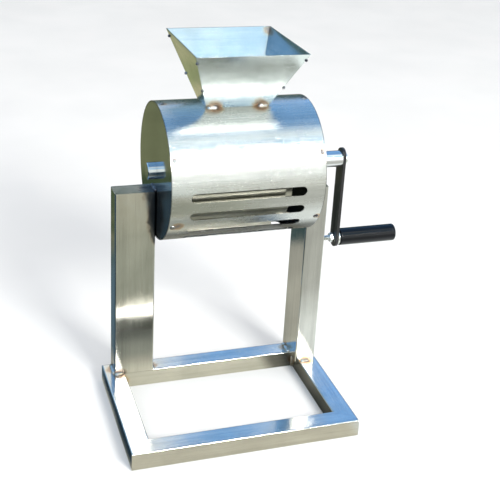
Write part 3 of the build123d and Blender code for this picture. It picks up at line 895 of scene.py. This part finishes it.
def ground_before(g, x, y, blotch):
    """Paving under and before the object with painted shadows of the front and right rails, a dark strip of
    painted shadow and grass behind it.
    """
    ground = NEAREST_GROUND
    for begins, complete, colour in GROUND_BANDS:
        ground = g.mix(g.step(y, begins, complete), ground, colour)
    right = g.mix(g.step(y, -0.3, -0.1), RIGHT_NEAR, RIGHT_FAR)
    ground = g.mix(g.step(x, 0.095, 0.12), ground, right)
    ground = g.mix(g.step(y, 0.47, 0.51), ground, REAR_SHADOW)
    ground = g.mix(g.step(y, 0.72, 0.85), ground, g.ramp(blotch, LAWN_COLOURS))
    across = g.math("MULTIPLY", g.step(x, 0.02, 0.05), g.remap(x, 0.08, 0.09, 1.0, 0.0))
    along = g.math("MULTIPLY", g.step(y, -0.13, -0.12), g.remap(y, 0.05, 0.06, 1.0, 0.0))
    shadow = g.math("MULTIPLY", g.math("MULTIPLY", across, along), 0.8)
    return g.mix(shadow, ground, RAIL_SHADOW)


def ground_left(g, y, blotch):
    """Shade, bushes and grass that the drum's left end faces."""
    left = g.mix(g.step(y, 0.06, 0.12), LEFT_NEAR, LEFT_FAR)
    left = g.mix(g.step(y, 0.35, 0.65), left, g.ramp(blotch, BUSH_COLOURS))
    return g.mix(g.step(y, 0.86, 1.02), left, LEFT_LAWN)


def reflected_ground():
    """What the metal mirrors below it. Only reflections can see it."""
    g = Material("reflected_ground")
    x, y, _ = g.split(g.coords)
    blotch = g.noise(6.0, 4.0, 0.6)
    beyond = g.remap(x, cad_low.x - 3.85 * MM, cad_low.x - 0.35 * MM, 1.0, 0.0)
    ground = g.mix(beyond, ground_before(g, x, y, blotch), ground_left(g, y, blotch))
    g.set("Base Color", g.darken(ground, g.remap(blotch, 0.3, 0.7, 0.86, 1.08)))
    g.set("Roughness", 1.0)
    g.set("Specular IOR Level", 0.0)
    card = square_card("reflected_ground", GROUND_SIZE, GROUND_LIFT, g.material)
    card.visible_camera = False
    card.visible_diffuse = False
    card.visible_shadow = False


reflected_ground()

# The mirrored sky, from the horizon to overhead, and what stands out in it
SKY_COLOURS = [
    (0.0, (0.80, 0.95, 1.0)),
    (0.30, (0.52, 0.85, 1.15)),
    (0.50, (0.31, 0.66, 1.25)),
    (0.70, (0.26, 0.56, 1.00)),
    (1.0, (0.24, 0.50, 0.90)),
]
SUNNY_LOW, SUNNY_HIGH, HAZE = (1.55, 1.62, 1.58), (0.74, 1.14, 1.52), (1.6, 1.75, 1.75)
SUN_GLOW, SUN_DISC = (2.9, 2.9, 2.8), (120.0, 117.0, 110.0)
DEEP_BLUE, CLOUD, HEDGE = (0.38, 0.84, 1.75), (1.40, 1.46, 1.46), (0.07, 0.12, 0.11)
PLAIN_LIGHT, PLAIN_STRENGTH = (0.94, 0.96, 1.0), 0.95


def sky(g, z, toward):
    """Clear sky that is pale on the sun's side, with haze above, a glow and a small sun."""
    sunny = g.mix(g.step(z, 0.46, 0.64), SUNNY_LOW, SUNNY_HIGH)
    haze = g.math("MULTIPLY", g.step(z, 0.785, 0.825), g.fall(z, 0.90, 0.96))
    sunny = g.mix(haze, sunny, HAZE)
    colour = g.mix(g.step(toward, 0.62, 0.85), g.ramp(z, SKY_COLOURS), sunny)
    colour = g.mix(g.step(toward, 0.975, 0.997), colour, SUN_GLOW)
    return g.mix(g.step(toward, 0.9974, 0.9984), colour, SUN_DISC)


def clouds(g, x, y, z, colour):
    """Behind the object: a patch of deep blue, a cloud to its left and a wisp between them."""
    slope = g.math("DIVIDE", x, g.math("MAXIMUM", y, 0.05))
    behind = g.step(y, 0.3, 0.5)
    deep = g.math("MULTIPLY", g.math("MULTIPLY", g.step(slope, 0.43, 0.50), behind), g.fall(z, 0.548, 0.566))
    colour = g.mix(deep, colour, DEEP_BLUE)
    cloud = g.math("MULTIPLY", g.fall(slope, 0.245, 0.27), g.step(slope, -0.1, 0.05))
    wisp = g.math("MULTIPLY", g.step(slope, 0.385, 0.405), g.fall(slope, 0.42, 0.44))
    cloud = g.math("MULTIPLY", cloud, behind)
    wisp = g.math("MULTIPLY", g.math("MULTIPLY", wisp, behind), 0.8)
    return g.mix(g.math("MAXIMUM", cloud, wisp), colour, CLOUD)


def hedge(g, x, y, z, colour):
    """A hedge behind the object, high on the right and low on the left."""
    behind = g.step(y, -0.3, 0.1)
    right = g.math("MULTIPLY", behind, g.step(x, -0.4, -0.15))
    high = g.math("MULTIPLY", g.fall(z, 0.40, 0.46), right)
    low = g.math("MULTIPLY", g.fall(z, 0.12, 0.22), behind)
    return g.mix(g.math("MAXIMUM", high, low), colour, HEDGE)


def world_shader():
    """Plain soft white for what it lights, and a clear sky over a hedge for what metal mirrors."""
    world = bpy.data.worlds.new("studio")
    bpy.context.scene.world = world
    world.use_nodes = True
    g = Nodes(world.node_tree)
    direction = g.add("ShaderNodeTexCoord").outputs["Generated"]
    x, y, z = g.split(direction)
    toward = g.add("ShaderNodeVectorMath", operation="DOT_PRODUCT")
    g.join(direction, toward.inputs[0])
    toward.inputs[1].default_value = SUN
    colour = sky(g, z, toward.outputs["Value"])
    colour = clouds(g, x, y, z, colour)
    colour = hedge(g, x, y, z, colour)
    mirrored = g.add("ShaderNodeBackground")
    g.join(colour, mirrored.inputs[0])
    plain = g.add("ShaderNodeBackground")
    g.feed(plain.inputs[0], PLAIN_LIGHT)
    g.feed(plain.inputs[1], PLAIN_STRENGTH)
    blend = g.add("ShaderNodeMixShader")
    g.join(g.add("ShaderNodeLightPath").outputs["Is Glossy Ray"], blend.inputs[0])
    g.join(plain.outputs[0], blend.inputs[1])
    g.join(mirrored.outputs[0], blend.inputs[2])
    g.join(blend.outputs[0], g.add("ShaderNodeOutputWorld").inputs[0])


world_shader()

scene = bpy.context.scene
scene.view_settings.view_transform = "Standard"
scene.view_settings.look = "None"

# The camera: a standing viewer to the left of the object, looking down at it
EYE = Vector((-0.459865, -1.233624, 0.866522))
YAW, PITCH, ROLL = math.radians(19.141), math.radians(22.113), math.radians(-3.247)
SENSOR_WIDTH, FOCAL_SHARE, SHIFT_Y = 36.0, 986.74 / 500.0, -0.12
NEAR_CLIP, FAR_CLIP = 0.05, 60.0

camera_data = bpy.data.cameras.new("camera")
camera = bpy.data.objects.new("camera", camera_data)
camera_data.sensor_width = SENSOR_WIDTH
camera_data.lens = FOCAL_SHARE * SENSOR_WIDTH
camera_data.shift_y = SHIFT_Y
camera_data.clip_start, camera_data.clip_end = NEAR_CLIP, FAR_CLIP
ahead = Vector((math.sin(YAW) * math.cos(PITCH), math.cos(YAW) * math.cos(PITCH), -math.sin(PITCH)))
level = Vector((math.cos(YAW), -math.sin(YAW), 0))
down = ahead.cross(level)
right = level * math.cos(ROLL) + down * math.sin(ROLL)
below = down * math.cos(ROLL) - level * math.sin(ROLL)
turned = Matrix((right, -below, -ahead)).transposed().to_4x4()
camera.matrix_world = Matrix.Translation(EYE) @ turned
scene.collection.objects.link(camera)
scene.camera = camera
